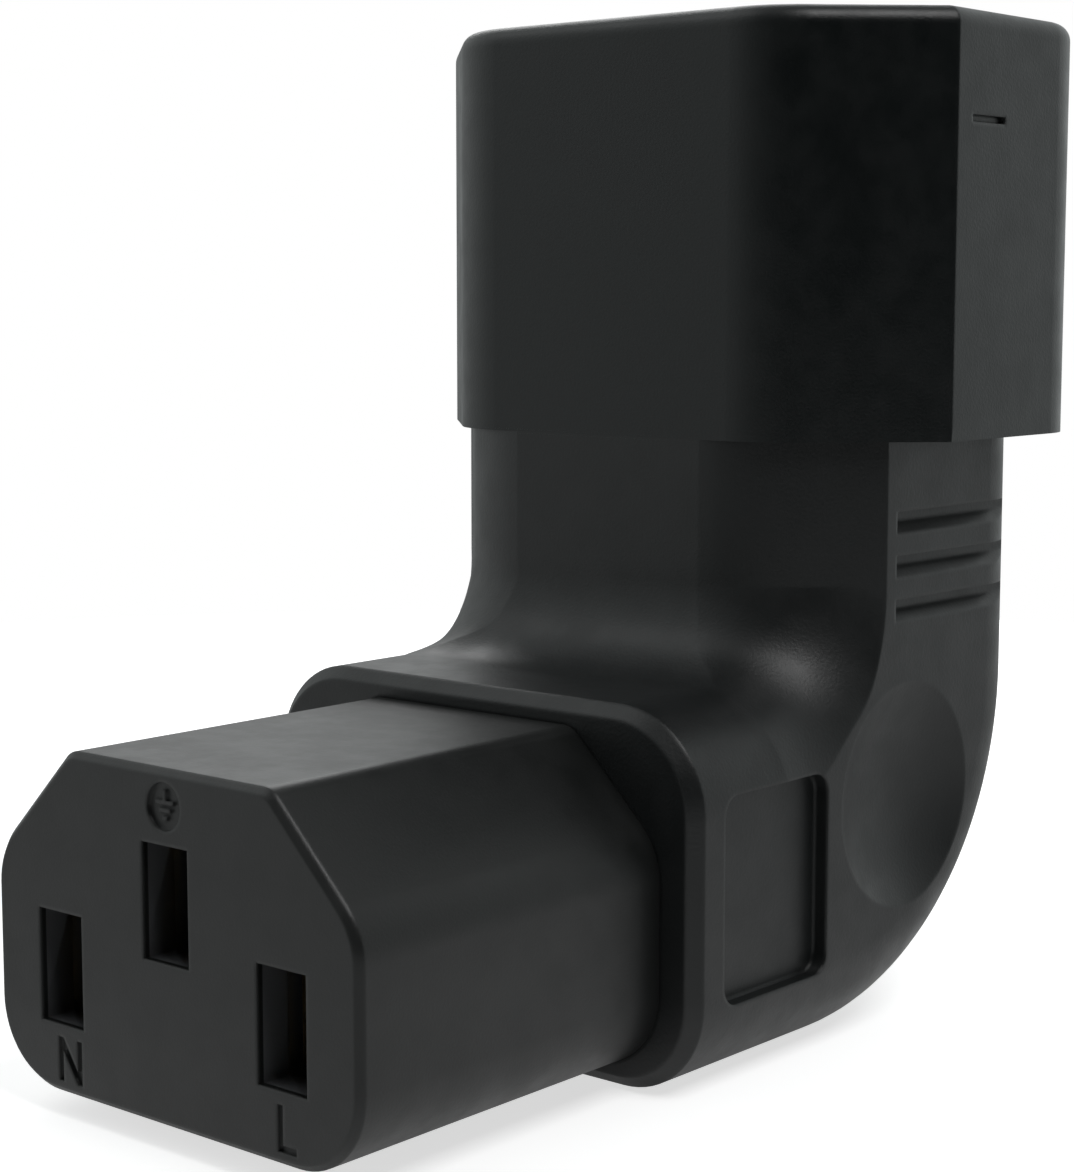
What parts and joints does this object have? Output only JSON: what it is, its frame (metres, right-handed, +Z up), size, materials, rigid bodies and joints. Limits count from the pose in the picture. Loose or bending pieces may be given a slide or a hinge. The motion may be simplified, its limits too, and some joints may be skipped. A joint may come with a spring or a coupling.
{
  "type": "right-angle appliance power adapter",
  "caption": "Black moulded right-angle power adapter with a female appliance connector nose at one end and a male shrouded plug that points up at the other.",
  "frame": {"origin": "on the face of the connector nose, midway between the line and neutral slots", "axes": "+X across the poles towards line, +Y from the nose back to the heel, +Z up along the plug"},
  "size_m": [0.032, 0.0491, 0.0497],
  "materials": {
    "body_plastic": "satin moulded soft plastic",
    "nose_plastic": "satin moulded rigid plastic",
    "shroud_plastic": "satin moulded rigid plastic",
    "pin_metal": "nickel plated",
    "contact_metal": "bright rolled strip",
    "copper": "rolled copper strip",
    "line_sleeve": "soft sleeve, brown",
    "neutral_sleeve": "soft sleeve, blue",
    "earth_sleeve": "soft sleeve, green and yellow"
  },
  "bodies": {
    "root": {"moulded_body": "body_plastic", "connector_nose": "nose_plastic", "contact_retainer": "nose_plastic", "plug_shroud": "shroud_plastic", "line_pin": "pin_metal", "line_contact": "contact_metal", "line_conductor": "copper", "line_insulation": "line_sleeve", "neutral_pin": "pin_metal", "neutral_contact": "contact_metal", "neutral_conductor": "copper", "neutral_insulation": "neutral_sleeve", "earth_pin": "pin_metal", "earth_contact": "contact_metal", "earth_conductor": "copper", "earth_insulation": "earth_sleeve"}
  },
  "joints": []
}
